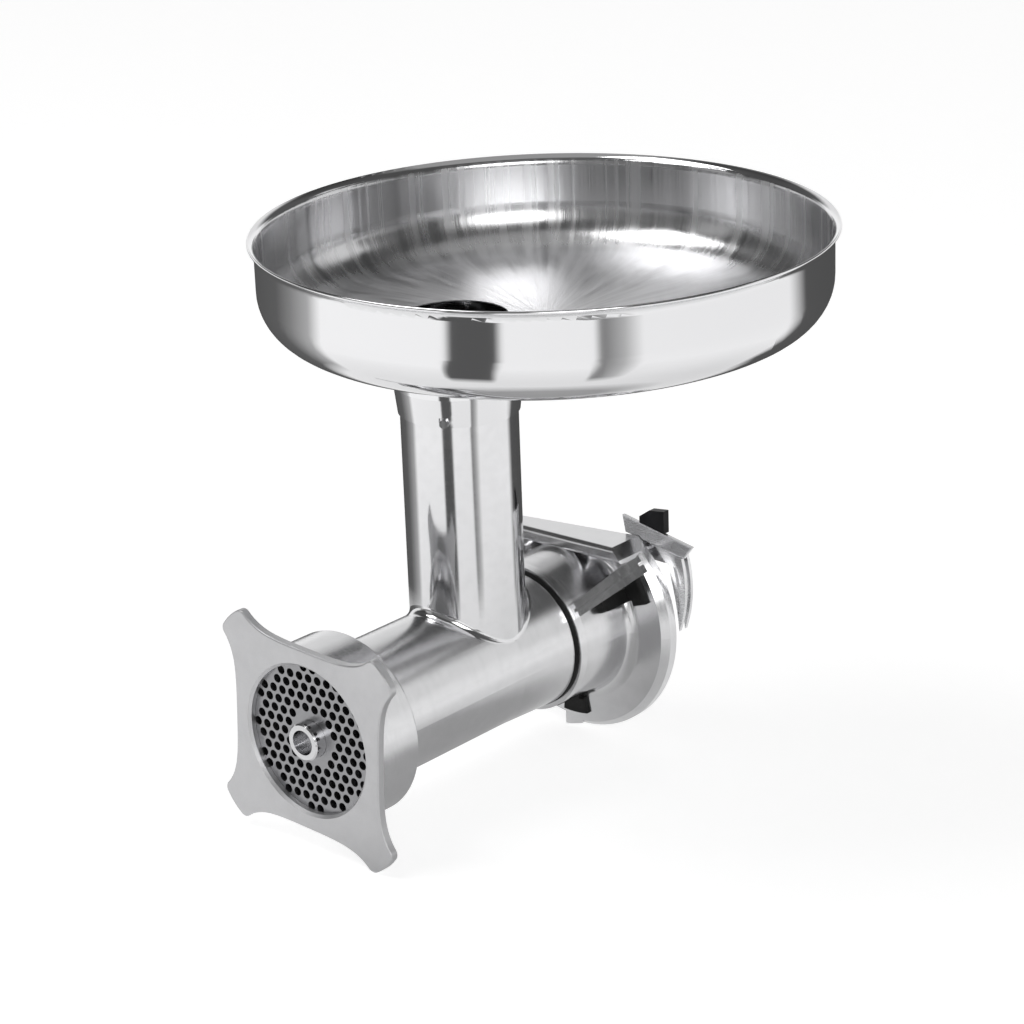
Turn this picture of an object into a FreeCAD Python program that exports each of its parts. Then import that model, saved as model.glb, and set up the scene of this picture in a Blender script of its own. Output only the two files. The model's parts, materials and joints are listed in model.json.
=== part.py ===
import FreeCAD, Part
import math
import os

# Meat grinder head: feed tray, feed tube, barrel, cutting set and rear hub flange.
# Frame, in millimetres: the origin is on the barrel's axis, in the seating face of the rear
# flange. +Y runs back along the barrel to the drive, +Z is up, the meat leaves towards -Y.

V = FreeCAD.Vector
ORIGIN = V(0, 0, 0)
X_AXIS = V(1, 0, 0)
Y_AXIS = V(0, 1, 0)
Z_AXIS = V(0, 0, 1)

# ---- driving dimensions -------------------------------------------------------------------
FRONT_Y = -207.0            # front face of the star plate
STAR_THICK = 4.0
OUTLET_R = 38.0             # opening in the star plate
OUTLET_CHAMFER = 1.4
STAR_MID_R = 47.0           # star plate's edge half way between two lugs
LUG_TIP_R = 71.5
LUG_HALF_WIDTH = 9.8
LUG_CORNER_R = 4.0
LUG_COUNT = 4
STAR_TURN = -3.3            # the lugs stop this far short of the diagonals
SLEEVE_R = 46.3             # ring nut sleeve, outside
SLEEVE_BORE_R = 43.8
SLEEVE_END_Y = -177.3

PLATE_R = 41.0              # perforated plate, 82 mm size
PLATE_THICK = 10.0
PLATE_GAP = 0.1             # between the star plate and the perforated plate
PLATE_HOLE_R = 2.25
PLATE_HOLE_PITCH = 6.0
PLATE_HOLES_FROM_R = 15.0
PLATE_HOLES_TO_R = 37.4
RUNNING_FIT = 0.08          # radial clearance of parts that turn or slide in each other

KNIFE_GAP = 0.15
KNIFE_THICK = 10.0
KNIFE_HUB_R = 17.5
KNIFE_TIP_R = 38.0
KNIFE_ARMS = 4
SQUARE = 20.0               # square of the stud that drives the knife
STUD_R = 9.5
STUD_PROUD = 6.5            # stud in front of the perforated plate
STUD_HOLE_R = 6.3
STUD_HOLE_DEPTH = 14.0
THREAD_R = 6.0              # stud's threaded end in the auger
THREAD_LENGTH = 22.0

HEAD_R = 43.5               # threaded head of the barrel
HEAD_FRONT_Y = -200.0
HEAD_REAR_Y = -181.0
HEAD_CONE_END_Y = -174.5
KNIFE_ROOM_R = 39.3
BARREL_R = 35.0
BARREL_REAR_R = 36.4
BARREL_BORE_R = 31.0
RIB_R = 29.8                # inside the ribs of the barrel
RIB_WIDTH = 5.0
RIB_COUNT = 6
REAR_WALL_Y = -60.0         # front of the barrel's rear wall
BARREL_END_Y = -50.0
SEAL_R = 17.0

AUGER_R = 29.3
AUGER_CORE_R = 14.5
AUGER_PITCH = 34.0
AUGER_FRONT_Y = -182.5
AUGER_REAR_Y = -62.2
FLIGHT_FRONT_Y = -178.0
FLIGHT_REAR_Y = -66.0
FLIGHT_ROOT = 6.0           # flight's thickness at the core and at its rim
FLIGHT_TIP = 3.4

GASKET_THICK = 2.0
GASKET_R = 36.6
LIP_R = 39.0
LIP_END_Y = -43.0
HOUSING_R = 38.0
HOUSING_REAR_R = 40.5
HOUSING_Y = BARREL_END_Y + GASKET_THICK
WEB_REAR_Y = -38.0
CAVITY_R = 34.5
FLANGE_R = 62.4
FLANGE_THICK = 9.0
FLANGE_FLAT_Z = 46.4        # the flange is cut flat on top, at x = 0
FLANGE_FLAT_TILT = 4.3      # the flat rises towards +X
FOOT_LOW = (-6.0, -64.2)    # wedge under the flange that the head stands on
FOOT_END = (5.0, -61.0)
NOTCH_FROM = -125.0         # relief notch in the flange's rim, beside its foot
NOTCH_TO = -95.5
NOTCH_R = 57.0
FLANGE_FILLET = 6.0
SHELF_HALF = 44.0
SHELF_LEFT_Y = -12.0        # slanted front edge of the shelf along the flat
SHELF_RIGHT_Y = -23.0
SHELF_THICK = 8.0

SHANK_R = 11.0
SHANK_NOSE_R = 9.0
SHANK_NOSE_Y = -92.0
SHANK_PIN_R = 3.0
SHANK_PIN_Y = -77.0
SHANK_SQUARE = 16.0
SHANK_SQUARE_Y = -10.0
SHANK_END_Y = 24.0
WASHER_R = 20.0
BUSH_R = 15.0
BUSH_COLLAR_R = 18.0
BUSH_FIT = 0.06             # radial clearance of the shank in its bush
SPIGOT_R = 33.9
SPIGOT_BORE_R = 27.0
SPIGOT_LENGTH = 18.0
SPIGOT_SEAT = 12.0          # length of the spigot that sits in the housing

TUBE_Y = -88.65             # axis of the upright feed tube
TUBE_R = 29.1
TUBE_BORE_R = 26.0          # 52 mm feed opening
TUBE_TOP_Z = 152.0
WELD_SIZE = 4.5

NECK_R = 31.7
NECK_BORE_R = 29.4
NECK_LOW_Z = 135.0
NECK_LIP_R = 30.1
NECK_TAPER_Z = 149.0
NECK_NOTCH_TOP_Z = 140.0
TRAY_PIN_R = 2.2
TRAY_PIN_Z = 137.0
TRAY_PIN_ANGLE = -62.0      # round the tube, from +X
TRAY_PIN_REACH = 31.2       # pin's end, from the tube's axis
TRAY_Z = 181.0              # underside of the tray's floor
TRAY_RIM_Z = 229.3
TRAY_WALL_R = 137.8
TRAY_RIM_R = 140.9
TRAY_CORNER_R = 24.0
TRAY_SHEET = 1.2
TRAY_X = 42.0               # the tray's centre, off the tube's axis
TRAY_Y = -69.9

PAD_ANGLES = (27.5, 147.5, -87.5)
PAD_IN_R = 45.8
PAD_OUT_R = 54.5
PAD_HALF_ANGLE = 8.3
PAD_PROUD = 2.4
PAD_FINGER_HALF = 3.4       # finger of the pad along the housing, half its width
PAD_FINGER_Y = -30.0

PIVOT_X = 39.6              # latch pivot, behind the flange's upper right corner
PIVOT_Z = 41.0
PIVOT_R = 3.0
PIVOT_HEAD_R = 5.2
LATCH_HUB_R = 7.0
THUMB_FRONT_Y = 0.4
THUMB_THICK = 2.4
BLADE_THICK = 2.0
LATCH_FRONT_Y = THUMB_FRONT_Y + THUMB_THICK
LATCH_DEPTH = 6.6           # over both blades


# ---- helpers ------------------------------------------------------------------------------
def rod(radius, y_from, y_to, x=0.0, z=0.0):
    """Round bar along Y."""
    return Part.makeCylinder(radius, y_to - y_from, V(x, y_from, z), Y_AXIS)


def ring(outer_r, inner_r, y_from, y_to, x=0.0, z=0.0):
    """Tube along Y."""
    return rod(outer_r, y_from, y_to, x, z).cut(rod(inner_r, y_from - 1, y_to + 1, x, z))


def upright(radius, z_from, z_to, x=0.0, y=TUBE_Y):
    """Round bar along Z, by default on the feed tube's axis."""
    return Part.makeCylinder(radius, z_to - z_from, V(x, y, z_from), Z_AXIS)


def box(x_from, x_to, y_from, y_to, z_from, z_to):
    return Part.makeBox(x_to - x_from, y_to - y_from, z_to - z_from, V(x_from, y_from, z_from))


def turned_y(points):
    """Solid of revolution about the barrel's axis from (radius, y) points."""
    face = Part.Face(Part.makePolygon([V(r, y, 0) for r, y in points + points[:1]]))
    return face.revolve(ORIGIN, Y_AXIS, 360)


def around_y(shape, angle):
    """Copy turned about the barrel's axis; 0 is +X and 90 is +Z."""
    copy = shape.copy()
    copy.rotate(ORIGIN, Y_AXIS, -angle)
    return copy


def extrude_xz(edges, y_from, y_to):
    """Prism along Y from a closed outline of edges drawn in the XZ plane at y = 0."""
    prism = Part.Face(Part.Wire(edges)).extrude(V(0, y_to - y_from, 0))
    prism.translate(V(0, y_from, 0))
    return prism


def outline(points):
    """Straight edges through (x, z) points, closed."""
    ring_points = points + points[:1]
    return Part.makePolygon([V(x, 0, z) for x, z in ring_points]).Edges


def arc(first, middle, last):
    """Arc through three (x, z) points."""
    return Part.Arc(*[V(x, 0, z) for x, z in (first, middle, last)]).toShape()


def line(first, last):
    return Part.makeLine(V(first[0], 0, first[1]), V(last[0], 0, last[1]))


def polar(radius, angle):
    """(x, z) of a point round the barrel's axis."""
    turn = math.radians(angle)
    return radius * math.cos(turn), radius * math.sin(turn)


def circle_edges(shape, radius, y=None, z=None):
    """Round edges of one radius, at one height along Y or Z."""
    found = []
    for edge in shape.Edges:
        curve = edge.Curve
        if not isinstance(curve, Part.Circle) or abs(curve.Radius - radius) > 0.01:
            continue
        if y is not None and abs(curve.Center.y - y) > 0.01:
            continue
        if z is not None and abs(curve.Center.z - z) > 0.01:
            continue
        found.append(edge)
    return found


# ---- ring nut -----------------------------------------------------------------------------
def ring_nut_star():
    """Flat clamp plate with four lugs on the diagonals and gently hollow sides."""
    shoulder = (49.3, 31.0)         # where a lug runs out into the side
    waist = (47.2, 16.0)
    edges = []
    for index in range(LUG_COUNT):
        turn = 90.0 * index
        tip = LUG_TIP_R - 1.5
        half = LUG_HALF_WIDTH
        corner = math.sqrt(0.5)
        tip_low = ((tip + half) * corner, (tip - half) * corner)
        side = [(tip_low[0], -tip_low[1]), (shoulder[0], -shoulder[1]), (waist[0], -waist[1]),
                (STAR_MID_R, 0.0), waist, shoulder, tip_low]
        spline = Part.BSplineCurve()
        spline.interpolate([V(x, 0, z) for x, z in side])
        tip_high = ((tip - half) * corner, (tip + half) * corner)
        tip_mid = (LUG_TIP_R * corner, LUG_TIP_R * corner)
        for edge in (spline.toShape(), arc(tip_low, tip_mid, tip_high)):
            edges.append(around_y(edge, turn + STAR_TURN))
    star = extrude_xz(Part.__sortEdges__(edges), FRONT_Y, FRONT_Y + STAR_THICK)
    corners = [edge for edge in star.Edges
               if abs(edge.Length - STAR_THICK) < 0.01 and edge.BoundBox.XLength < 0.01]
    star = star.makeFillet(LUG_CORNER_R, corners)
    star = star.cut(rod(OUTLET_R, FRONT_Y - 1, FRONT_Y + STAR_THICK + 1))
    star = star.makeChamfer(OUTLET_CHAMFER, circle_edges(star, OUTLET_R, y=FRONT_Y))
    front_rim = [edge for edge in star.Edges
                 if abs(edge.BoundBox.YMin - FRONT_Y) < 0.01
                 and edge.BoundBox.YLength < 0.01
                 and not isinstance(edge.Curve, Part.Circle)]
    return star.makeFillet(0.8, front_rim)


def ring_nut_sleeve():
    """Plain turned skirt behind the star plate; its thread is left as a clear bore."""
    sleeve = ring(SLEEVE_R, SLEEVE_BORE_R, FRONT_Y + STAR_THICK, SLEEVE_END_Y)
    sleeve = sleeve.makeFillet(1.1, circle_edges(sleeve, SLEEVE_R, y=SLEEVE_END_Y))
    return sleeve


# ---- cutting set --------------------------------------------------------------------------
PLATE_FRONT_Y = FRONT_Y + STAR_THICK + PLATE_GAP
PLATE_REAR_Y = PLATE_FRONT_Y + PLATE_THICK
KNIFE_FRONT_Y = PLATE_REAR_Y + KNIFE_GAP
KNIFE_REAR_Y = KNIFE_FRONT_Y + KNIFE_THICK
PIN_R = 1.8
PIN_AT_R = 41.2


def plate_holes():
    """Holes of the perforated plate, in staggered rows."""
    holes = []
    row_step = PLATE_HOLE_PITCH * math.sqrt(0.75)
    rows = int(PLATE_R / row_step)
    for row in range(-rows, rows + 1):
        shift = 0.5 * PLATE_HOLE_PITCH * (row % 2)
        for column in range(-rows - 1, rows + 2):
            x = column * PLATE_HOLE_PITCH + shift
            z = row * row_step
            reach = math.hypot(x, z)
            if PLATE_HOLES_FROM_R < reach < PLATE_HOLES_TO_R:
                holes.append(rod(PLATE_HOLE_R, PLATE_FRONT_Y - 1, PLATE_REAR_Y + 1, x, z))
    return holes


def grinder_plate():
    plate = ring(PLATE_R, STUD_R + RUNNING_FIT, PLATE_FRONT_Y, PLATE_REAR_Y)
    plate = plate.makeChamfer(0.6, circle_edges(plate, PLATE_R))
    notch = rod(PIN_R + 0.4, PLATE_FRONT_Y - 1, PLATE_REAR_Y + 1, 0, -PIN_AT_R)
    return plate.cut(Part.makeCompound(plate_holes() + [notch]))


def plate_pin():
    return rod(PIN_R, PLATE_FRONT_Y + 3.5, PLATE_REAR_Y - 0.5, 0, -PIN_AT_R)


def cutting_knife():
    """Cross knife with four swept arms on the stud's square."""
    root = 9.5
    edges = [line((root, -7.5), (KNIFE_TIP_R - 0.8, -2.5)),
             arc((KNIFE_TIP_R - 0.8, -2.5), (KNIFE_TIP_R, 1.5), (KNIFE_TIP_R - 1.4, 6.0)),
             arc((KNIFE_TIP_R - 1.4, 6.0), (24.0, 4.2), (root, 8.5)),
             line((root, 8.5), (root, -7.5))]
    arm = extrude_xz(edges, KNIFE_FRONT_Y, KNIFE_REAR_Y)
    hub = rod(KNIFE_HUB_R, KNIFE_FRONT_Y, KNIFE_REAR_Y)
    for index in range(KNIFE_ARMS):
        hub = hub.fuse(around_y(arm, index * 360.0 / KNIFE_ARMS))
    half = SQUARE / 2
    return hub.cut(box(-half, half, KNIFE_FRONT_Y - 1, KNIFE_REAR_Y + 1, -half, half))


def auger_stud():
    """Stud screwed into the auger: square through the knife, round through the plate."""
    half = SQUARE / 2
    tip_y = PLATE_FRONT_Y - STUD_PROUD
    square = box(-half, half, KNIFE_FRONT_Y, KNIFE_REAR_Y, -half, half)
    nose = rod(STUD_R, tip_y, KNIFE_FRONT_Y)
    nose = nose.makeChamfer(0.7, circle_edges(nose, STUD_R, y=tip_y))
    thread = rod(THREAD_R, KNIFE_REAR_Y, KNIFE_REAR_Y + THREAD_LENGTH)
    return square.fuse([nose, thread]).cut(rod(STUD_HOLE_R, tip_y - 1, tip_y + STUD_HOLE_DEPTH))


# ---- auger --------------------------------------------------------------------------------
def auger():
    """Core with one helical flight that winds back from the knife."""
    helix = Part.makeHelix(AUGER_PITCH, FLIGHT_REAR_Y - FLIGHT_FRONT_Y, AUGER_CORE_R)
    inner = AUGER_CORE_R - 2.0
    outer = AUGER_R + 1.5
    section = Part.makePolygon([V(inner, 0, -FLIGHT_ROOT / 2), V(outer, 0, -FLIGHT_TIP / 2),
                                V(outer, 0, FLIGHT_TIP / 2), V(inner, 0, FLIGHT_ROOT / 2),
                                V(inner, 0, -FLIGHT_ROOT / 2)])
    flight = Part.Wire(helix.Edges).makePipeShell([section], True, True)
    flight.rotate(ORIGIN, X_AXIS, -90)
    flight.translate(V(0, FLIGHT_FRONT_Y, 0))
    flight = flight.common(rod(AUGER_R, AUGER_FRONT_Y, AUGER_REAR_Y))
    screw = rod(AUGER_CORE_R, AUGER_FRONT_Y, AUGER_REAR_Y).fuse(flight)
    stud_hole = rod(THREAD_R, AUGER_FRONT_Y - 1, KNIFE_REAR_Y + THREAD_LENGTH)
    shank_hole = rod(SHANK_NOSE_R, SHANK_NOSE_Y, AUGER_REAR_Y + 1)
    return screw.cut([stud_hole, shank_hole, shank_pin()])


def shank_pin():
    """Cross pin that locks the shank in the auger's core."""
    length = 2 * AUGER_CORE_R - 1
    return Part.makeCylinder(SHANK_PIN_R, length, V(0, SHANK_PIN_Y, -length / 2), Z_AXIS)


def drive_shank():
    nose = rod(SHANK_NOSE_R, SHANK_NOSE_Y, AUGER_REAR_Y)
    body = rod(SHANK_R, AUGER_REAR_Y, SHANK_SQUARE_Y)
    half = SHANK_SQUARE / 2
    square = box(-half, half, SHANK_SQUARE_Y, SHANK_END_Y, -half, half)
    square = square.common(rod(SHANK_R - 0.5, SHANK_SQUARE_Y, SHANK_END_Y))
    square = square.makeChamfer(1.2, [edge for edge in square.Edges
                                      if abs(edge.BoundBox.YMin - SHANK_END_Y) < 0.01])
    return nose.fuse([body, square]).cut(shank_pin())


def thrust_washer():
    return ring(WASHER_R, SHANK_R, AUGER_REAR_Y, REAR_WALL_Y - 0.2)


# ---- barrel and feed tube -----------------------------------------------------------------
def barrel_outside():
    return turned_y([(0, HEAD_FRONT_Y), (HEAD_R, HEAD_FRONT_Y), (HEAD_R, HEAD_REAR_Y),
                     (BARREL_R, HEAD_CONE_END_Y), (BARREL_R, -87.0),
                     (BARREL_REAR_R, BARREL_END_Y), (0, BARREL_END_Y)])


def grinder_barrel():
    rib_zone = ring(BARREL_BORE_R + 0.5, RIB_R, HEAD_REAR_Y + 1, REAR_WALL_Y)
    rib = box(RIB_R - 2, BARREL_BORE_R + 0.6, HEAD_REAR_Y + 1, REAR_WALL_Y,
              -RIB_WIDTH / 2, RIB_WIDTH / 2)
    ribs = [around_y(rib, 30 + index * 360.0 / RIB_COUNT) for index in range(RIB_COUNT)]
    bore = rod(BARREL_BORE_R, HEAD_REAR_Y - 2, REAR_WALL_Y)
    bore = bore.cut(rib_zone.common(Part.makeCompound(ribs)))
    barrel = barrel_outside().cut([
        bore,
        rod(PLATE_R + RUNNING_FIT, HEAD_FRONT_Y - 1, PLATE_REAR_Y),
        rod(KNIFE_ROOM_R, PLATE_REAR_Y - 1, HEAD_REAR_Y - 1),
        rod(SEAL_R, REAR_WALL_Y - 1, BARREL_END_Y + 1),
        upright(TUBE_BORE_R, 0, BARREL_REAR_R + 5),
        plate_pin(),
        barrel_screws()])
    return max(barrel.Solids, key=lambda solid: solid.Volume)


def feed_tube():
    """Upright tube with the fillet weld round its foot."""
    tube = upright(TUBE_R, 0, TUBE_TOP_Z).cut(upright(TUBE_BORE_R, -1, TUBE_TOP_Z + 1))
    tube = tube.cut(barrel_outside())
    tube = max(tube.Solids, key=lambda solid: solid.CenterOfMass.z).cut(tray_pin())
    tube = tube.makeChamfer(0.8, circle_edges(tube, TUBE_BORE_R, z=TUBE_TOP_Z))
    return tube.fuse(weld_bead()).removeSplitter()


def tray_pin():
    """Radial pin near the top of the feed tube that keeps the tray from turning."""
    turn = math.radians(TRAY_PIN_ANGLE)
    outward = V(math.cos(turn), math.sin(turn), 0)
    start = V(0, TUBE_Y, TRAY_PIN_Z) + outward * (TUBE_R - 1.5)
    return Part.makeCylinder(TRAY_PIN_R, TRAY_PIN_REACH - TUBE_R + 1.5, start, outward)


def weld_bead():
    """Fillet between the feed tube's foot and the barrel."""
    outside = barrel_outside()
    post = upright(TUBE_R, 0, 80.0)
    joined = outside.fuse(post).removeSplitter()
    foot = []
    for edge in joined.Edges:
        middle = edge.valueAt((edge.FirstParameter + edge.LastParameter) / 2)
        from_axis = math.hypot(middle.x, middle.y - TUBE_Y)
        if abs(from_axis - TUBE_R) < 0.05 and 1.0 < middle.z < 60.0 and edge.Length > 5.0:
            if edge.BoundBox.XLength > 1.0:
                foot.append(edge)
    bead = joined.makeFillet(WELD_SIZE, foot).cut(outside.fuse(post))
    return max(bead.Solids, key=lambda solid: solid.Volume)


# ---- rear housing -------------------------------------------------------------------------
SCREW_COUNT = 4
SCREW_AT_R = 28.5
SCREW_R = 2.0
SCREW_HEAD_R = 3.5
SCREW_SOCKET_R = 1.6


def barrel_screws():
    """Socket head screws from the web of the rear housing into the barrel's rear wall."""
    screws = []
    for index in range(SCREW_COUNT):
        x, z = polar(SCREW_AT_R, 45 + index * 360.0 / SCREW_COUNT)
        shank = rod(SCREW_R, BARREL_END_Y - 7, WEB_REAR_Y, x, z)
        head = rod(SCREW_HEAD_R, WEB_REAR_Y, WEB_REAR_Y + 2 * SCREW_R, x, z)
        socket = rod(SCREW_SOCKET_R, WEB_REAR_Y + SCREW_R, WEB_REAR_Y + 3 * SCREW_R, x, z)
        screws.append(shank.fuse(head).cut(socket))
    return Part.makeCompound(screws)


def joint_gasket():
    gasket = ring(GASKET_R, SEAL_R + 1, BARREL_END_Y, HOUSING_Y)
    return gasket.cut(barrel_screws())


def ring_segment(inner, outer, low, high, y_from, y_to):
    """Piece of a flat ring between two angles."""
    middle = (low + high) / 2
    edges = [arc(polar(outer, low), polar(outer, middle), polar(outer, high)),
             line(polar(outer, high), polar(inner, high)),
             arc(polar(inner, high), polar(inner, middle), polar(inner, low)),
             line(polar(inner, low), polar(outer, low))]
    return extrude_xz(edges, y_from, y_to)


def pad_slot(angle, y_from, y_to):
    """Ring segment that fits a slot of the flange."""
    return ring_segment(PAD_IN_R, PAD_OUT_R, angle - PAD_HALF_ANGLE, angle + PAD_HALF_ANGLE,
                        y_from, y_to)


def rear_housing_blank():
    """Lip, slightly flared body and flange in one turned piece, with the shelf on top."""
    front = -FLANGE_THICK
    body = turned_y([(0, HOUSING_Y), (LIP_R, HOUSING_Y), (LIP_R, LIP_END_Y),
                     (HOUSING_R, LIP_END_Y + 1), (HOUSING_REAR_R, front),
                     (FLANGE_R - 3, front), (FLANGE_R, front + 4), (FLANGE_R, 0), (0, 0)])
    body = body.makeFillet(FLANGE_FILLET, circle_edges(body, HOUSING_REAR_R, y=front))
    above = box(-FLANGE_R, FLANGE_R, front - 20, 1, FLANGE_FLAT_Z, FLANGE_R + 20)
    corners = [(-SHELF_HALF, -1), (-SHELF_HALF, SHELF_LEFT_Y), (SHELF_HALF, SHELF_RIGHT_Y),
               (SHELF_HALF, -1), (-SHELF_HALF, -1)]
    shelf = Part.Face(Part.makePolygon([V(x, y, FLANGE_FLAT_Z - SHELF_THICK)
                                        for x, y in corners]))
    shelf = shelf.extrude(V(0, 0, SHELF_THICK))
    shelf = shelf.makeFillet(2.5, [edge for edge in shelf.Edges
                                   if edge.BoundBox.YMax < front and edge.BoundBox.XLength > 1])
    for part in (above, shelf):
        part.rotate(V(0, 0, FLANGE_FLAT_Z), Y_AXIS, -FLANGE_FLAT_TILT)
    body = body.cut(above)
    shelf = shelf.common(rod(FLANGE_R, SHELF_RIGHT_Y - 1, 0))
    foot = extrude_xz(outline([FOOT_LOW, (FOOT_LOW[0], 2 - NOTCH_R), (FOOT_END[0], 2 - NOTCH_R),
                               FOOT_END]), front, 0)
    notch = ring_segment(NOTCH_R, FLANGE_R + 2, NOTCH_FROM, NOTCH_TO, front - 5, 1)
    return body.fuse(shelf).cut(notch).fuse(foot)


def pad_slots():
    """Slots for the rubber pads, from the flange's rear face through its front face."""
    return Part.makeCompound([pad_slot(angle, -FLANGE_THICK - 4, 1) for angle in PAD_ANGLES])


def solid_housing():
    """The housing's outside with the pads' slots and no bores."""
    return rear_housing_blank().cut(pad_slots())


def rear_housing():
    return solid_housing().cut([
        rod(BUSH_R, HOUSING_Y - 1, WEB_REAR_Y + 1),
        rod(CAVITY_R, WEB_REAR_Y, 1),
        rod(PIVOT_R, -FLANGE_THICK + 1.5, 1, PIVOT_X, PIVOT_Z),
        rod(DOWEL_SEAT_R, -FLANGE_THICK + 1.5, 1, DOWEL_X, DOWEL_Z),
        barrel_screws()])


RIB_FOOT_ANGLE = 33.0
RIB_HEAD_ANGLE = 39.5
RIB_FOOT_R = 43.3
RIB_HEAD_R = 61.5
RIB_FOOT_THICK = 7.5
RIB_HEAD_THICK = 10.5
RIB_GROOVE = 1.8


def rib_block(foot_r, head_r, inner_r, foot_width, head_width):
    """Twisted bar from the lip to the flange, between two flat sections across the barrel."""
    wires = []
    for y, angle, outer, width in (
            (HOUSING_Y + 0.6, RIB_FOOT_ANGLE, foot_r, foot_width),
            (-FLANGE_THICK + 1.0, RIB_HEAD_ANGLE, head_r, head_width)):
        corners = [(inner_r, -width / 2), (outer, -width / 2), (outer, width / 2),
                   (inner_r, width / 2), (inner_r, -width / 2)]
        wire = Part.makePolygon([V(r, y, t) for r, t in corners])
        wires.append(around_y(wire, angle))
    return Part.makeLoft(wires, True, True)


def housing_ribs():
    """Diagonal rib with a grooved back on each side of the rear housing."""
    rib = rib_block(RIB_FOOT_R, RIB_HEAD_R, 30.0, RIB_FOOT_THICK, RIB_HEAD_THICK)
    groove = rib_block(RIB_FOOT_R + 2, RIB_HEAD_R + 2, 30.0, RIB_GROOVE, RIB_GROOVE)
    web = rib_block(RIB_FOOT_R - 1.8, RIB_HEAD_R - 1.8, 30.0, RIB_FOOT_THICK, RIB_HEAD_THICK)
    rib = rib.cut(groove.cut(web))
    blank = rear_housing_blank()
    ribs = [side.cut(blank) for side in (rib, rib.mirror(ORIGIN, X_AXIS))]
    return Part.makeCompound([max(side.Solids, key=lambda solid: solid.Volume) for side in ribs])


def flange_pads():
    """Black rubber pads, one in each slot of the flange, with a finger along the housing."""
    finger = box(HOUSING_R - 2, HOUSING_REAR_R + 3.6, PAD_FINGER_Y, -FLANGE_THICK - PAD_PROUD,
                 -PAD_FINGER_HALF, PAD_FINGER_HALF)
    finger = finger.makeFillet(3.0, [edge for edge in finger.Edges
                                     if abs(edge.BoundBox.YMax - PAD_FINGER_Y) < 0.01
                                     and edge.BoundBox.XLength > 1])
    bridge = box(HOUSING_R - 2, PAD_IN_R + 2, -FLANGE_THICK - PAD_PROUD, -FLANGE_THICK,
                 -PAD_FINGER_HALF, PAD_FINGER_HALF)
    pads = []
    for angle in PAD_ANGLES:
        pad = pad_slot(angle, -FLANGE_THICK - PAD_PROUD, -0.4)
        front = [edge for edge in pad.Edges
                 if abs(edge.BoundBox.YMax + FLANGE_THICK + PAD_PROUD) < 0.01]
        pad = pad.makeFillet(0.8, front)
        pad = pad.fuse([around_y(finger, angle), around_y(bridge, angle)])
        pad = pad.cut([solid_housing(), housing_ribs()])
        pads.append(max(pad.Solids, key=lambda solid: solid.Volume))
    return Part.makeCompound(pads)


DOWEL_R = 3.0
DOWEL_SEAT_R = 3.6
DOWEL_END_Y = 9.0
DOWEL_X, DOWEL_Z = polar(54.0, 210.0)


def flange_dowel():
    """Dowel behind the flange that stops the head from turning on its hub."""
    nose = rod(DOWEL_R, 0, DOWEL_END_Y, DOWEL_X, DOWEL_Z)
    nose = nose.makeChamfer(0.8, circle_edges(nose, DOWEL_R, y=DOWEL_END_Y))
    return nose.fuse(rod(DOWEL_SEAT_R, -FLANGE_THICK + 1.5, 0, DOWEL_X, DOWEL_Z))


def rear_bush():
    bush = ring(BUSH_R, SHANK_R + BUSH_FIT, HOUSING_Y, WEB_REAR_Y)
    return bush.fuse(ring(BUSH_COLLAR_R, SHANK_R + BUSH_FIT, WEB_REAR_Y, WEB_REAR_Y + 2))


def shaft_seal():
    return ring(SEAL_R, SHANK_R + 0.3, REAR_WALL_Y + 0.5, BARREL_END_Y)


def hub_spigot():
    """Round spigot that centres the head in the drive hub."""
    seat = ring(CAVITY_R, SPIGOT_BORE_R, -SPIGOT_SEAT, -0.5)
    nose = ring(SPIGOT_R, SPIGOT_BORE_R, -0.5, SPIGOT_LENGTH)
    spigot = seat.fuse(nose)
    return spigot.makeChamfer(0.8, circle_edges(spigot, SPIGOT_R, y=SPIGOT_LENGTH))


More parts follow.
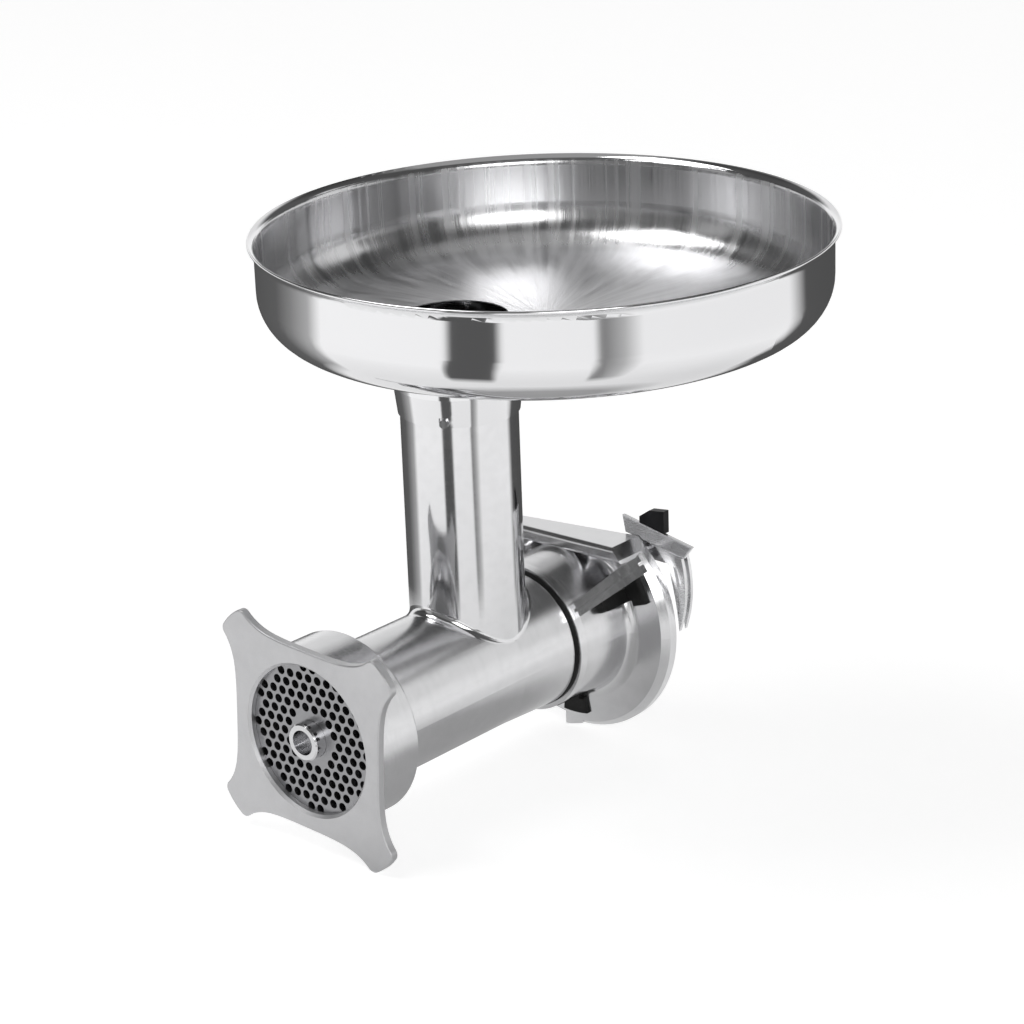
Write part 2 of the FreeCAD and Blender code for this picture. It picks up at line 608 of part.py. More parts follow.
# ---- tray ---------------------------------------------------------------------------------
def feed_tray():
    """Pressed round pan with an outward curled rim and a throat off its centre."""
    inner_corner = TRAY_CORNER_R - TRAY_SHEET
    wall_in = TRAY_WALL_R - TRAY_SHEET
    floor_in = TRAY_Z + TRAY_SHEET
    bend = TRAY_WALL_R - TRAY_CORNER_R      # where the floor turns up
    diagonal = math.sqrt(0.5)
    curl_z = TRAY_RIM_Z - 5.0
    hem_r = TRAY_RIM_R - 0.7

    def at(r, z):
        return V(r, 0, z)

    centre_z = TRAY_Z + TRAY_CORNER_R
    edges = [
        Part.makeLine(at(0, TRAY_Z), at(bend, TRAY_Z)),
        Part.Arc(at(bend, TRAY_Z),
                 at(bend + TRAY_CORNER_R * diagonal, centre_z - TRAY_CORNER_R * diagonal),
                 at(TRAY_WALL_R, centre_z)).toShape(),
        Part.makeLine(at(TRAY_WALL_R, centre_z), at(TRAY_WALL_R, curl_z - 1.0)),
        Part.Arc(at(TRAY_WALL_R, curl_z - 1.0), at(TRAY_WALL_R + 0.6, curl_z + 1.6),
                 at(hem_r, curl_z + 3.2)).toShape(),
        Part.Arc(at(hem_r, curl_z + 3.2), at(TRAY_RIM_R, curl_z + 4.1),
                 at(hem_r, TRAY_RIM_Z)).toShape(),
        Part.Arc(at(hem_r, TRAY_RIM_Z), at(wall_in + 1.0, curl_z + 3.0),
                 at(wall_in, curl_z - 1.0)).toShape(),
        Part.makeLine(at(wall_in, curl_z - 1.0), at(wall_in, centre_z)),
        Part.Arc(at(wall_in, centre_z),
                 at(bend + inner_corner * diagonal, centre_z - inner_corner * diagonal),
                 at(bend, floor_in)).toShape(),
        Part.makeLine(at(bend, floor_in), at(0, floor_in)),
        Part.makeLine(at(0, floor_in), at(0, TRAY_Z))]
    pan = Part.Face(Part.Wire(edges)).revolve(ORIGIN, Z_AXIS, 360)
    pan.translate(V(TRAY_X, TRAY_Y, 0))
    return pan.cut(upright(TUBE_BORE_R, TRAY_Z - 1, TRAY_Z + 3))


def tray_neck():
    """Neck that slips over the feed tube and stands on its end."""
    shoulder = TUBE_TOP_Z + 0.1
    points = [(NECK_BORE_R, NECK_LOW_Z), (NECK_LIP_R, NECK_LOW_Z), (NECK_R, NECK_TAPER_Z),
              (NECK_R, TRAY_Z), (TUBE_BORE_R, TRAY_Z), (TUBE_BORE_R, shoulder),
              (NECK_BORE_R, shoulder)]
    face = Part.Face(Part.makePolygon([V(r, 0, z) for r, z in points + points[:1]]))
    neck = face.revolve(ORIGIN, Z_AXIS, 360)
    neck.translate(V(0, TUBE_Y, 0))
    half = TRAY_PIN_R + 0.4
    notch = box(NECK_BORE_R - 3, NECK_R + 3, -half, half, NECK_LOW_Z - 1, NECK_NOTCH_TOP_Z)
    notch.rotate(ORIGIN, Z_AXIS, TRAY_PIN_ANGLE)
    notch.translate(V(0, TUBE_Y, 0))
    return neck.cut(notch)


def neck_weld():
    """Fillet weld between the neck and the tray's floor."""
    size = 2.0
    face = Part.Face(Part.makePolygon([V(NECK_R, 0, TRAY_Z), V(NECK_R + size, 0, TRAY_Z),
                                       V(NECK_R, 0, TRAY_Z - size), V(NECK_R, 0, TRAY_Z)]))
    weld = face.revolve(ORIGIN, Z_AXIS, 360)
    weld.translate(V(0, TUBE_Y, 0))
    return weld


# ---- latch --------------------------------------------------------------------------------
LATCH_REAR_Y = LATCH_FRONT_Y + LATCH_DEPTH
CLAW_TIP = (62.0, 1.2)


def latch_blade(y_from, arm_outline):
    """Flat blade: hub round the pivot, arm to the thumb edge and curved claw."""
    y_to = y_from + BLADE_THICK
    hub = rod(LATCH_HUB_R, y_from, y_to, PIVOT_X, PIVOT_Z)
    arm = extrude_xz(outline(arm_outline), y_from, y_to)
    outer_top = (64.0, 41.5)
    inner_top = (54.5, 38.5)
    claw = extrude_xz([arc(outer_top, (66.2, 24.0), CLAW_TIP),
                       arc(CLAW_TIP, (59.0, 22.0), inner_top),
                       line(inner_top, outer_top)], y_from, y_to)
    slit = extrude_xz([arc((60.5, 36.0), (63.0, 22.0), (61.4, 9.0)),
                       arc((61.4, 9.0), (61.4, 22.0), (58.6, 36.0)),
                       line((58.6, 36.0), (60.5, 36.0))], y_from - 1, y_to + 1)
    return hub.fuse([arm, claw]).cut(slit).removeSplitter()


def latch_lever():
    """Two blades joined by a sleeve round the pivot pin and a bar under the thumb plate."""
    front = latch_blade(LATCH_FRONT_Y, [(30.5, 56.0), (31.5, 49.0), (41.6, 37.3), (56.0, 36.8),
                                        (66.5, 42.6), (70.5, 48.6)])
    rear = latch_blade(LATCH_REAR_Y - BLADE_THICK, [(36.0, 37.0), (38.0, 51.5), (62.0, 46.5),
                                                    (62.0, 40.5)])
    sleeve = rod(4.6, LATCH_FRONT_Y, LATCH_REAR_Y, PIVOT_X, PIVOT_Z)
    bar = extrude_xz(outline([(44.0, 46.8), (44.6, 50.1), (60.0, 46.9), (60.0, 43.6)]),
                     LATCH_FRONT_Y, LATCH_REAR_Y)
    lever = front.fuse([rear, sleeve, bar]).removeSplitter()
    return lever.cut(rod(PIVOT_R + BUSH_FIT, -1, LATCH_REAR_Y + 1, PIVOT_X, PIVOT_Z))


def latch_thumb_plate():
    """Flat plate on the front blade that the thumb pushes sideways."""
    plate = extrude_xz(outline([(27.8, 58.3), (29.6, 49.3), (67.2, 42.8), (72.6, 49.8)]),
                       THUMB_FRONT_Y, THUMB_FRONT_Y + THUMB_THICK)
    return plate.makeChamfer(0.5, [edge for edge in plate.Edges
                                   if abs(edge.BoundBox.YMax - THUMB_FRONT_Y) < 0.01])


def latch_grip():
    """Dark moulded grip on the thumb plate's upper edge."""
    grip = extrude_xz(outline([(38.6, 56.4), (38.6, 59.6), (45.0, 64.0), (54.4, 65.2),
                               (54.4, 53.2)]), LATCH_FRONT_Y - 1.6, LATCH_FRONT_Y + 2.6)
    upper = extrude_xz(outline([(27.8, 58.3), (72.6, 49.8), (67.2, 42.8), (29.6, 49.3)]),
                       -1, LATCH_REAR_Y)
    return grip.cut(upper)


def latch_pivot_pin():
    """Pin pressed into the flange, with a head behind the latch."""
    pin = rod(PIVOT_R, -FLANGE_THICK + 1.5, LATCH_REAR_Y + 1.6, PIVOT_X, PIVOT_Z)
    head_end = LATCH_REAR_Y + 2.4
    head = rod(PIVOT_HEAD_R, LATCH_REAR_Y + 0.4, head_end, PIVOT_X, PIVOT_Z)
    head = head.makeChamfer(0.6, circle_edges(head, PIVOT_HEAD_R, y=head_end))
    return pin.fuse(head)


def latch_spring():
    """Torsion spring coiled between the blades, shown as its turns."""
    wire_r = 0.35
    coil_r = 5.4
    turn_step = 0.8
    turns = []
    for index in range(3):
        y = LATCH_FRONT_Y + BLADE_THICK + 0.5 + index * turn_step
        turns.append(Part.makeTorus(coil_r, wire_r, V(PIVOT_X, y, PIVOT_Z), Y_AXIS))
    return Part.makeCompound(turns)


# ---- output -------------------------------------------------------------------------------
NODES = {
    "ring_nut_star": ring_nut_star,
    "ring_nut_sleeve": ring_nut_sleeve,
    "grinder_plate": grinder_plate,
    "plate_pin": plate_pin,
    "cutting_knife": cutting_knife,
    "auger_stud": auger_stud,
    "auger": auger,
    "shank_pin": shank_pin,
    "drive_shank": drive_shank,
    "thrust_washer": thrust_washer,
    "grinder_barrel": grinder_barrel,
    "feed_tube": feed_tube,
    "tray_pin": tray_pin,
    "barrel_screws": barrel_screws,
    "joint_gasket": joint_gasket,
    "rear_housing": rear_housing,
    "housing_ribs": housing_ribs,
    "flange_pads": flange_pads,
    "flange_dowel": flange_dowel,
    "rear_bush": rear_bush,
    "shaft_seal": shaft_seal,
    "hub_spigot": hub_spigot,
    "feed_tray": feed_tray,
    "tray_neck": tray_neck,
    "neck_weld": neck_weld,
    "latch_lever": latch_lever,
    "latch_thumb_plate": latch_thumb_plate,
    "latch_grip": latch_grip,
    "latch_pivot_pin": latch_pivot_pin,
    "latch_spring": latch_spring,
}

os.makedirs("parts", exist_ok=True)
for name, make in NODES.items():
    shape = make()
    shape.exportStep(os.path.join("parts", name + ".step"))
    print(name, "valid" if shape.isValid() else "INVALID", len(shape.Solids),
          round(shape.Volume / 1000, 2), "cm3")
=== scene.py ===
import json
import math

import bpy
from mathutils import Matrix, Vector


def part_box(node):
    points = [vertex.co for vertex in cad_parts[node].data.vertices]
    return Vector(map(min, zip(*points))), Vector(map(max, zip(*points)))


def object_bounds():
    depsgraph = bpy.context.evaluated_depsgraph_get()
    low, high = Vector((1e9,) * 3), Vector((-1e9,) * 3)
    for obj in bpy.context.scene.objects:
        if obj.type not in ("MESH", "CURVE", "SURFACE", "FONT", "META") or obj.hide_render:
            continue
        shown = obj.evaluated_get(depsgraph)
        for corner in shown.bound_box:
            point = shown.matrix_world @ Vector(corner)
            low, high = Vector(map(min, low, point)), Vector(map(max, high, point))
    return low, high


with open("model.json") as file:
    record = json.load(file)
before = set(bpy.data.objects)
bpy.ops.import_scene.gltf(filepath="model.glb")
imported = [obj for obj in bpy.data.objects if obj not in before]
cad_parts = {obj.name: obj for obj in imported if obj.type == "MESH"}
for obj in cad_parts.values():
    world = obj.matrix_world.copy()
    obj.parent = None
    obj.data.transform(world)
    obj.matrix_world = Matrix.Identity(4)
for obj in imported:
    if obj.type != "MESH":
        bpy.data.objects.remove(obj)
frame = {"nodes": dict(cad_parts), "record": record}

CAD_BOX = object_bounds()
NODES = frame["nodes"]

# ---- the view -----------------------------------------------------------------------------
VIEW_AZIMUTH = 41.58        # degrees; 0 looks along +Y, positive puts the camera on the +X side
VIEW_ELEVATION = 20.37
VIEW_ROLL = -2.15
VIEW_DISTANCE = 1.5654
LENS = 111.86
SENSOR = 36.0
CLIP_END = 50.0
AIM_OFFSET = (-0.0190, -0.0087, 0.0002)     # aim point, from the centre of the CAD box

# ---- the studio ---------------------------------------------------------------------------
FLOOR_SIZE = 8.0
FLOOR_GLOW = 0.76
FLOOR_GREYS = (0.48, 0.52)
FOOT_Y = -0.009             # the flange's foot touches the floor here
EDGE_SMOOTH_ANGLE = 32.0
FLAT_RATIO = 8.0            # a level face this much larger than its neighbour has a crisp edge
LEVEL = 0.999               # upward part of a level face's normal
SLOPING_AREA = 1e-6         # square metres counted for a face that isn't level
TRAY_PAINTED_LIGHT = (0.88, 1.12)    # painted shade on the tray's inside wall and painted light on its flat floor, as factors on the base colour

TRAY_WALL_R = 0.1378        # outer skin of the tray's wall, and its corner at the floor
TRAY_CORNER_R = 0.024
TRAY_OUTER_ROUGH = 0.07
STREAK_COUNT = 16.0
STREAK_LENGTHWISE = 16.0    # how fast a streak changes along its length
SCOURED_ROUGH = (0.14, 0.34)
FLOOR_ROUGH = 0.14          # added on the tray's flat floor
SKIN = (0.0004, 0.0008)     # depth under the outer skin where the inside begins
FLOOR_EDGE = (0.0060, 0.0014)   # height over the underside where the corner ends

# Brightness of the room by bearing from the viewing side, at three heights.
ROOM_HORIZON = [(-180, 1.0), (-112, 1.0), (-104, 0.3), (-60, 0.2), (60, 0.2), (74, 1.0), (180, 1.0)]
ROOM_LOW = [(-180, 0.85), (-160, 0.85), (-148, 0.10), (-92, 0.06), (-86, 0.5), (-74, 0.5),
            (-66, 0.16), (-8, 0.22), (1, 4.4), (26, 4.4), (31, 0.08), (80, 0.12), (88, 0.9),
            (108, 0.9), (116, 0.10), (148, 0.10), (160, 0.85), (180, 0.85)]
ROOM_HIGH = [(-180, 0.5), (-166, 0.5), (-150, 0.05), (-90, 0.10), (112, 0.08), (156, 0.05),
             (170, 0.5), (180, 0.5)]
ROOM_LOW_FROM = (0.14, 0.24)        # sine of the elevation
ROOM_HIGH_FROM = (0.50, 0.62)
CEILING_FROM = (0.84, 0.92)
CEILING = 0.35
WORLD_STRENGTH = 4.4

# Flags on the floor, seen only in reflections: how dark by bearing, and round spots by the barrel that
# are painted shadow, the object's shade on the floor as reflections see it.
FLAG_HALF = 1.6
FLAG_CENTRE = (0.02, -0.08)
FLAG_LIFT = 0.001           # above the floor
# grey of the flags and of the painted shadow spots
FLAG_AND_SHADOW_GREY = (0.02, 0.02, 0.02, 1.0)
FLAG_BEARINGS = [(-180, 0.95), (-126, 0.9), (-114, 0.78), (-101, 0.58), (-93, 0.0), (-37, 0.0),
                 (-34, 0.92), (-18, 0.92), (-15, 0.0), (17, 0.0), (20, 0.8), (28, 0.5),
                 (35, 0.0), (103, 0.0), (115, 0.92), (180, 0.95)]
FLAG_FROM_R = (0.22, 0.30)   # the bearings count beyond this reach
PAINTED_SHADOW_SPOTS = [((0.04, -0.03), (0.07, 0.17), 0.62), ((0.02, -0.02), (0.22, 0.50), 0.15)]

# The key light, a square softbox aimed at the object's middle.
KEY_PLACE = (-0.8, -0.9, 2.2)
KEY_SIZE = 1.2
KEY_WATTS = 18.0

# ---- finishes: base colour, roughness, depth of the tool marks ----------------------------
FINISHES = {
    "polished_body": dict(colour=(0.76, 0.76, 0.77), rough=0.09, marks="z", grain=900, depth=0.015),
    "satin_body": dict(colour=(0.74, 0.74, 0.75), rough=0.20, marks="y", grain=1300, depth=0.03),
    "satin_star": dict(colour=(0.62, 0.62, 0.63), rough=0.46, marks="blast", grain=2600, depth=0.05),
    "latch_steel": dict(colour=(0.80, 0.80, 0.81), rough=0.24, marks="x", grain=1500, depth=0.04),
    "tool_steel": dict(colour=(0.34, 0.34, 0.35), rough=0.30, marks="y", grain=1400, depth=0.04),
    "polished_pin": dict(colour=(0.70, 0.70, 0.71), rough=0.16, marks="y", grain=1800, depth=0.03),
    "cast_screw": dict(colour=(0.62, 0.62, 0.62), rough=0.34, marks="blast", grain=600, depth=0.10),
    "bronze": dict(colour=(0.66, 0.46, 0.24), rough=0.28, marks="y", grain=1400, depth=0.04),
}


def node_adder(tree):
    """A function that adds a node, with each input either linked from a socket or given a value."""
    def add(kind, inputs=None, **settings):
        node = tree.nodes.new(kind)
        for key, value in settings.items():
            setattr(node, key, value)
        for key, value in (inputs or {}).items():
            if isinstance(value, bpy.types.NodeSocket):
                tree.links.new(value, node.inputs[key])
            else:
                node.inputs[key].default_value = value
        return node

    return add


def node_tree(name):
    """A new material with its tree, its shader and a function that adds nodes to it."""
    material = bpy.data.materials.new(name)
    material.use_nodes = True
    tree = material.node_tree
    return material, tree, tree.nodes["Principled BSDF"], node_adder(tree)


def stretched_coordinates(add, marks, grain):
    """Object coordinates squeezed so that noise runs along the direction of the tool marks."""
    place = add("ShaderNodeTexCoord").outputs["Object"]
    scale = {"x": (12.0, grain, grain), "y": (9.0, grain, 9.0), "z": (6.0, 6.0, grain),
             "blast": (grain, grain, grain)}[marks]
    return add("ShaderNodeMapping", {"Vector": place, "Scale": scale}).outputs["Vector"], place


def metal(name, colour, rough, marks, grain, depth):
    """Bare metal with fine tool marks, cloudy wear in its gloss and a few darker stains."""
    material, tree, shader, add = node_tree(name)
    marks_at, place = stretched_coordinates(add, marks, grain)
    lines = add("ShaderNodeTexNoise", {"Vector": marks_at, "Scale": 1.0, "Detail": 3.0,
                                       "Roughness": 0.6}).outputs["Fac"]
    clouds = add("ShaderNodeTexNoise", {"Vector": place, "Scale": 22.0, "Detail": 4.0,
                                        "Roughness": 0.55}).outputs["Fac"]
    specks = add("ShaderNodeTexNoise", {"Vector": place, "Scale": 180.0, "Detail": 2.0,
                                        "Roughness": 0.5}).outputs["Fac"]
    mixed = add("ShaderNodeMath", {0: lines, 1: clouds}, operation="ADD").outputs["Value"]
    gloss = add("ShaderNodeMapRange", {"Value": mixed, "From Min": 0.7, "From Max": 1.3,
                                       "To Min": rough * 0.75, "To Max": rough * 1.35})
    tree.links.new(gloss.outputs["Result"], shader.inputs["Roughness"])
    tone = add("ShaderNodeValToRGB", {"Fac": add("ShaderNodeMath", {0: clouds, 1: specks},
                                                 operation="MULTIPLY").outputs["Value"]})
    tone.color_ramp.elements[0].position = 0.10
    tone.color_ramp.elements[0].color = (*[c * 0.95 for c in colour], 1.0)
    tone.color_ramp.elements[1].position = 0.34
    tone.color_ramp.elements[1].color = (*colour, 1.0)
    tree.links.new(tone.outputs["Color"], shader.inputs["Base Color"])
    shader.inputs["Metallic"].default_value = 1.0
    bump = add("ShaderNodeBump", {"Height": lines, "Strength": depth, "Distance": 0.0004})
    tree.links.new(bump.outputs["Normal"], shader.inputs["Normal"])
    return material


def tray_steel(name):
    """Mirror bright outside and a scoured inside with streaks that run out from the middle; the inside's
    colour is darkened on the wall as painted shade and brightened on the flat floor as painted light.
    """
    material, tree, shader, add = node_tree(name)
    low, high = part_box("feed_tray")
    node = NODES["feed_tray"]
    middle = node.matrix_world.inverted() @ ((low + high) / 2)
    place = add("ShaderNodeTexCoord").outputs["Object"]
    flat = add("ShaderNodeVectorMath", {0: place, 1: (middle.x, middle.y, 0.0)},
               operation="SUBTRACT").outputs["Vector"]
    flat = add("ShaderNodeVectorMath", {0: flat, 1: (1.0, 1.0, 0.0)},
               operation="MULTIPLY").outputs["Vector"]
    reach = add("ShaderNodeVectorMath", {0: flat}, operation="LENGTH").outputs["Value"]
    outward = add("ShaderNodeVectorMath", {0: flat}, operation="NORMALIZE").outputs["Vector"]
    spread = add("ShaderNodeVectorMath", {0: outward, "Scale": STREAK_COUNT}, operation="SCALE")
    lift = add("ShaderNodeCombineXYZ", {"Z": add("ShaderNodeMath", {0: reach, 1: STREAK_LENGTHWISE},
                                                 operation="MULTIPLY").outputs["Value"]})
    at = add("ShaderNodeVectorMath", {0: spread.outputs["Vector"], 1: lift.outputs["Vector"]},
             operation="ADD").outputs["Vector"]
    streaks = add("ShaderNodeTexNoise", {"Vector": at, "Scale": 1.0, "Detail": 5.0,
                                         "Roughness": 0.62}).outputs["Fac"]
    past = add("ShaderNodeMath", {0: reach, 1: TRAY_WALL_R - TRAY_CORNER_R}, operation="SUBTRACT")
    past = add("ShaderNodeMath", {0: past.outputs["Value"], 1: 0.0}, operation="MAXIMUM")
    height = add("ShaderNodeSeparateXYZ", {"Vector": place}).outputs["Z"]
    floor_z = middle.z - (high.z - low.z) / 2
    below = add("ShaderNodeMath", {0: floor_z + TRAY_CORNER_R, 1: height}, operation="SUBTRACT")
    below = add("ShaderNodeMath", {0: below.outputs["Value"], 1: 0.0}, operation="MAXIMUM")
    offset = add("ShaderNodeCombineXYZ", {"X": past.outputs["Value"], "Y": below.outputs["Value"]})
    skin = add("ShaderNodeVectorMath", {0: offset.outputs["Vector"]}, operation="LENGTH")
    inside = add("ShaderNodeMapRange", {"Value": skin.outputs["Value"],
                                        "From Min": TRAY_CORNER_R - SKIN[0],
                                        "From Max": TRAY_CORNER_R - SKIN[1]}).outputs["Result"]
    scoured = add("ShaderNodeMapRange", {"Value": streaks, "From Min": 0.32, "From Max": 0.68,
                                         "To Min": SCOURED_ROUGH[0],
                                         "To Max": SCOURED_ROUGH[1]}).outputs["Result"]
    flat_floor = add("ShaderNodeMapRange", {"Value": below.outputs["Value"],
                                            "From Min": TRAY_CORNER_R - FLOOR_EDGE[0],
                                            "From Max": TRAY_CORNER_R - FLOOR_EDGE[1]}).outputs["Result"]
    worn = add("ShaderNodeMath", {0: flat_floor, 1: FLOOR_ROUGH}, operation="MULTIPLY").outputs["Value"]
    worn = add("ShaderNodeMath", {0: scoured, 1: worn}, operation="ADD").outputs["Value"]
    gloss = add("ShaderNodeMix", {"Factor": inside, "A": TRAY_OUTER_ROUGH, "B": worn})
    tree.links.new(gloss.outputs["Result"], shader.inputs["Roughness"])
    tone = add("ShaderNodeValToRGB", {"Fac": streaks})
    tone.color_ramp.elements[0].position = 0.30
    tone.color_ramp.elements[0].color = (0.66, 0.66, 0.67, 1.0)
    tone.color_ramp.elements[1].position = 0.60
    tone.color_ramp.elements[1].color = (0.84, 0.84, 0.85, 1.0)
    colour = add("ShaderNodeMix", {"Factor": inside}, data_type="RGBA")
    colour.inputs["A"].default_value = (0.80, 0.80, 0.81, 1.0)
    # painted light: the flat floor's colour is scaled up and the inside wall's colour scaled down, by
    # where light falls
    painted_light_scale = add("ShaderNodeMapRange", {"Value": flat_floor, "To Min": TRAY_PAINTED_LIGHT[0],
                                       "To Max": TRAY_PAINTED_LIGHT[1]}).outputs["Result"]
    tone_with_painted_light = add("ShaderNodeVectorMath", {0: tone.outputs["Color"], "Scale": painted_light_scale},
                operation="SCALE")
    tree.links.new(tone_with_painted_light.outputs["Vector"], colour.inputs["B"])
    tree.links.new(colour.outputs["Result"], shader.inputs["Base Color"])
    shader.inputs["Metallic"].default_value = 1.0
    height = add("ShaderNodeMath", {0: streaks, 1: inside}, operation="MULTIPLY").outputs["Value"]
    bump = add("ShaderNodeBump", {"Height": height, "Strength": 0.35, "Distance": 0.0006})
    tree.links.new(bump.outputs["Normal"], shader.inputs["Normal"])
    return material


def dark_polymer(name, colour, rough, grain, depth):
    """Black rubber or plastic with a fine moulded grain and dusty patches."""
    material, tree, shader, add = node_tree(name)
    place = add("ShaderNodeTexCoord").outputs["Object"]
    fine = add("ShaderNodeTexNoise", {"Vector": place, "Scale": grain, "Detail": 3.0}).outputs["Fac"]
    patches = add("ShaderNodeTexNoise", {"Vector": place, "Scale": 90.0, "Detail": 3.0}).outputs["Fac"]
    tone = add("ShaderNodeValToRGB", {"Fac": patches})
    tone.color_ramp.elements[0].position = 0.35
    tone.color_ramp.elements[0].color = (*colour, 1.0)
    tone.color_ramp.elements[1].position = 0.75
    tone.color_ramp.elements[1].color = (*[c * 2.4 for c in colour], 1.0)
    tree.links.new(tone.outputs["Color"], shader.inputs["Base Color"])
    gloss = add("ShaderNodeMapRange", {"Value": fine, "To Min": rough * 0.8, "To Max": rough * 1.2})
    shader.inputs["Specular IOR Level"].default_value = 0.18
    tree.links.new(gloss.outputs["Result"], shader.inputs["Roughness"])
    bump = add("ShaderNodeBump", {"Height": fine, "Strength": depth, "Distance": 0.0003})
    tree.links.new(bump.outputs["Normal"], shader.inputs["Normal"])
    return material


def make_materials():
    made = {name: metal(name, **finish) for name, finish in FINISHES.items()}
    made["polished_tray"] = tray_steel("polished_tray")
    made["black_rubber"] = dark_polymer("black_rubber", (0.006, 0.006, 0.006), 0.55, 900.0, 0.3)
    made["black_plastic"] = dark_polymer("black_plastic", (0.007, 0.007, 0.008), 0.42, 1400.0, 0.2)
    return made


def keep_flats_flat(mesh):
    """A level face far larger than its neighbour across an edge keeps a crisp edge there."""
    sides = {}
    for polygon in mesh.polygons:
        area = polygon.area if abs(polygon.normal.z) > LEVEL else SLOPING_AREA
        for key in polygon.edge_keys:
            sides.setdefault(key, []).append(area)
    for edge in mesh.edges:
        areas = sides.get(edge.key, [])
        if len(areas) == 2 and max(areas) > FLAT_RATIO * min(areas):
            edge.use_edge_sharp = True


def dress_cad_nodes(materials):
    """Every CAD node shows the finish of its slot and is shaded smooth between sharp edges."""
    slots = {part["node"]: part["material_slot"] for part in frame["record"]["subparts"]}
    for name, node in NODES.items():
        node.data.materials.clear()
        node.data.materials.append(materials[slots[name]])
        for polygon in node.data.polygons:
            polygon.use_smooth = True
        node.data.set_sharp_from_angle(angle=math.radians(EDGE_SMOOTH_ANGLE))
    keep_flats_flat(NODES["feed_tray"].data)


# ---- stage --------------------------------------------------------------------------------
def view_axes():
    azimuth = math.radians(VIEW_AZIMUTH)
    elevation = math.radians(VIEW_ELEVATION)
    back = Vector((math.sin(azimuth) * math.cos(elevation),
                   -math.cos(azimuth) * math.cos(elevation), math.sin(elevation)))
    right = Vector((math.cos(azimuth), math.sin(azimuth), 0.0))
    return right, back.cross(right), back


def add_camera():
    right, up, back = view_axes()
    roll = math.radians(VIEW_ROLL)
    across = right * math.cos(roll) + up * math.sin(roll)
    upward = up * math.cos(roll) - right * math.sin(roll)
    low, high = Vector(CAD_BOX[0]), Vector(CAD_BOX[1])
    aim = (low + high) / 2 + Vector(AIM_OFFSET)
    camera = bpy.data.objects.new("camera", bpy.data.cameras.new("camera"))
    bpy.context.scene.collection.objects.link(camera)
    camera.data.lens = LENS
    camera.data.sensor_width = SENSOR
    camera.data.clip_end = CLIP_END
    turn = Matrix((across, upward, back)).transposed().to_4x4()
    camera.matrix_world = Matrix.Translation(aim + back * VIEW_DISTANCE) @ turn
    bpy.context.scene.camera = camera


def floor_height(y):
    """Height of the plane through the flange's foot behind and the lowest lug in front."""
    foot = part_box("rear_housing")[0].z
    star_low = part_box("ring_nut_star")[0]
    slope = (star_low.z - foot) / (star_low.y - FOOT_Y)
    return foot + slope * (y - FOOT_Y)


def add_plane(name, x_half, y_half, centre, lift):
    """Flat stage piece that lies along the floor."""
    mesh = bpy.data.meshes.new(name)
    corners = [(x, y, floor_height(centre[1] + y) - floor_height(centre[1]))
               for x, y in ((-x_half, -y_half), (x_half, -y_half), (x_half, y_half),
                            (-x_half, y_half))]
    mesh.from_pydata(corners, [], [(0, 1, 2, 3)])
    plane = bpy.data.objects.new(name, mesh)
    plane.location = (centre[0], centre[1], floor_height(centre[1]) + lift)
    bpy.context.scene.collection.objects.link(plane)
    return plane


def add_floor():
    """Plain white floor with a fine paper grain."""
    floor = add_plane("floor", FLOOR_SIZE / 2, FLOOR_SIZE / 2, (0.0, 0.0), 0.0)
    material, tree, shader, add = node_tree("floor_paint")
    shader.inputs["Roughness"].default_value = 0.9
    shader.inputs["Specular IOR Level"].default_value = 0.0
    shader.inputs["Emission Color"].default_value = (1.0, 1.0, 1.0, 1.0)
    shader.inputs["Emission Strength"].default_value = FLOOR_GLOW
    place = add("ShaderNodeTexCoord").outputs["Object"]
    grain = add("ShaderNodeTexNoise", {"Vector": place, "Scale": 60.0, "Detail": 3.0}).outputs["Fac"]
    tone = add("ShaderNodeValToRGB", {"Fac": grain})
    for element, grey in zip(tone.color_ramp.elements, FLOOR_GREYS):
        element.color = (grey, grey, grey, 1.0)
    tree.links.new(tone.outputs["Color"], shader.inputs["Base Color"])
    floor.data.materials.append(material)


def set_stops(ramp, stops, low, high):
    """Fill a colour ramp from (position, grey) pairs, the positions running from low to high."""
    elements = ramp.color_ramp.elements
    while len(elements) < len(stops):
        elements.new(0.5)
    for element, (position, value) in zip(elements, stops):
        element.position = (position - low) / (high - low)
        element.color = (value, value, value, 1.0)


def bearing(add, vector):
    """Bearing in degrees of a horizontal direction, 0 towards the viewing side, + to its right."""
    azimuth = math.radians(VIEW_AZIMUTH)
    along = add("ShaderNodeVectorMath", {0: vector, 1: (math.sin(azimuth), -math.cos(azimuth), 0.0)},
                operation="DOT_PRODUCT").outputs["Value"]
    across = add("ShaderNodeVectorMath", {0: vector, 1: (math.cos(azimuth), math.sin(azimuth), 0.0)},
                 operation="DOT_PRODUCT").outputs["Value"]
    turn = add("ShaderNodeMath", {0: across, 1: along}, operation="ARCTAN2").outputs["Value"]
    return add("ShaderNodeMapRange", {"Value": turn, "From Min": -math.pi, "From Max": math.pi,
                                      "To Min": 0.0, "To Max": 1.0}).outputs["Result"]


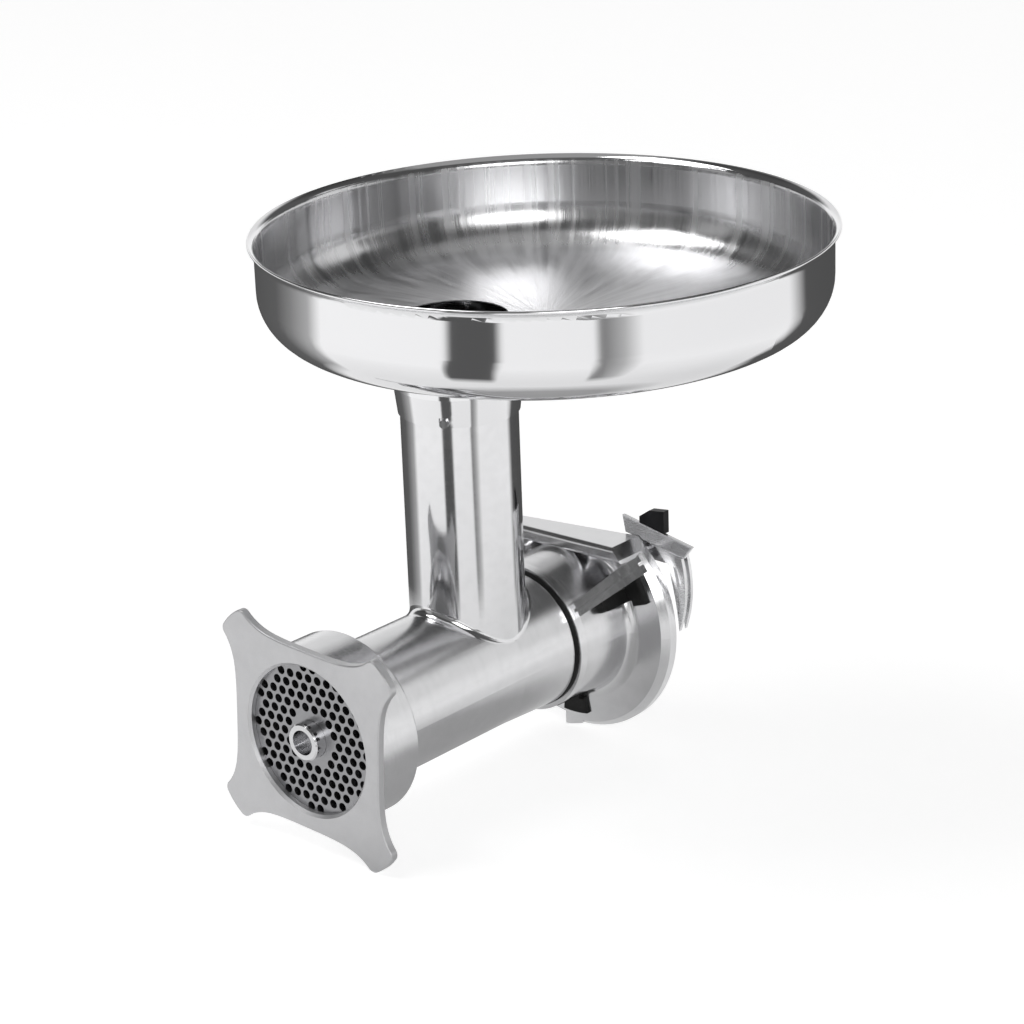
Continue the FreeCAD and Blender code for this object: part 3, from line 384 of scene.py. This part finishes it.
def add_flags_and_painted_shadow():
    """Dark studio flag cards on the floor that only reflections show, so that the steel gets edges;
    round spots on the same sheet are painted shadow of the object on the floor.
    """
    flags_and_shadow_sheet = add_plane("flags_and_shadow_sheet", FLAG_HALF, FLAG_HALF, FLAG_CENTRE, FLAG_LIFT)
    for kind in ("camera", "diffuse", "transmission", "volume_scatter", "shadow"):
        setattr(flags_and_shadow_sheet, "visible_" + kind, False)
    material, tree, shader, add = node_tree("flags_and_painted_shadow")
    place = add("ShaderNodeTexCoord").outputs["Object"]
    around = add("ShaderNodeValToRGB", {"Fac": bearing(add, place)})
    set_stops(around, FLAG_BEARINGS, -180.0, 180.0)
    far = add("ShaderNodeVectorMath", {0: place}, operation="LENGTH").outputs["Value"]
    far = add("ShaderNodeMapRange", {"Value": far, "From Min": FLAG_FROM_R[0],
                                     "From Max": FLAG_FROM_R[1]}).outputs["Result"]
    dark = add("ShaderNodeMath", {0: around.outputs["Color"], 1: far},
               operation="MULTIPLY").outputs["Value"]
    # painted shadow: round dark spots under the object stand in for its shade on the floor, which the
    # steel reflects
    for (x, y), (inner, outer), depth in PAINTED_SHADOW_SPOTS:
        shifted = add("ShaderNodeVectorMath", {0: place, 1: (x, y, 0.0)}, operation="SUBTRACT")
        reach = add("ShaderNodeVectorMath", {0: shifted.outputs["Vector"]}, operation="LENGTH")
        painted_shadow = add("ShaderNodeMapRange", {"Value": reach.outputs["Value"], "From Min": inner,
                                          "From Max": outer, "To Min": depth, "To Max": 0.0})
        dark = add("ShaderNodeMath", {0: dark, 1: painted_shadow.outputs["Result"]},
                   operation="MAXIMUM").outputs["Value"]
    flag_and_shadow_dark = add("ShaderNodeEmission", {"Color": FLAG_AND_SHADOW_GREY})
    clear = add("ShaderNodeBsdfTransparent")
    mix = add("ShaderNodeMixShader", {"Fac": dark})
    tree.links.new(clear.outputs["BSDF"], mix.inputs[1])
    tree.links.new(flag_and_shadow_dark.outputs["Emission"], mix.inputs[2])
    tree.links.new(mix.outputs["Shader"], tree.nodes["Material Output"].inputs["Surface"])
    tree.nodes.remove(shader)
    flags_and_shadow_sheet.data.materials.append(material)


def add_world():
    """Room whose brightness changes in bands by bearing and height, with softboxes in the low band."""
    world = bpy.data.worlds.new("studio")
    bpy.context.scene.world = world
    world.use_nodes = True
    tree = world.node_tree
    add = node_adder(tree)
    direction = add("ShaderNodeTexCoord").outputs["Generated"]
    turn = bearing(add, direction)
    rise = add("ShaderNodeSeparateXYZ", {"Vector": direction}).outputs["Z"]
    ceiling = [(-180, CEILING), (180, CEILING)]
    room = None
    for stops, heights in ((ROOM_HORIZON, None), (ROOM_LOW, ROOM_LOW_FROM),
                           (ROOM_HIGH, ROOM_HIGH_FROM), (ceiling, CEILING_FROM)):
        band = add("ShaderNodeValToRGB", {"Fac": turn})
        set_stops(band, [(place, value / WORLD_STRENGTH) for place, value in stops], -180.0, 180.0)
        if room is None:
            room = band.outputs["Color"]
            continue
        above = add("ShaderNodeMapRange", {"Value": rise, "From Min": heights[0],
                                           "From Max": heights[1]}).outputs["Result"]
        blend = add("ShaderNodeMixRGB", {"Fac": above, "Color1": room,
                                         "Color2": band.outputs["Color"]})
        room = blend.outputs["Color"]
    background = tree.nodes["Background"]
    tree.links.new(room, background.inputs["Color"])
    background.inputs["Strength"].default_value = WORLD_STRENGTH


def add_key_light():
    middle = (Vector(CAD_BOX[0]) + Vector(CAD_BOX[1])) / 2
    light = bpy.data.lights.new("key", "AREA")
    light.shape = "RECTANGLE"
    light.size = light.size_y = KEY_SIZE
    light.energy = KEY_WATTS
    lamp = bpy.data.objects.new("key", light)
    bpy.context.scene.collection.objects.link(lamp)
    lamp.location = KEY_PLACE
    lamp.rotation_euler = (middle - Vector(KEY_PLACE)).to_track_quat("-Z", "Y").to_euler()


def set_colour():
    settings = bpy.context.scene.view_settings
    settings.view_transform = "Standard"
    settings.look = "None"


# ---- build --------------------------------------------------------------------------------
dress_cad_nodes(make_materials())
add_camera()
add_floor()
add_flags_and_painted_shadow()
add_world()
add_key_light()
set_colour()
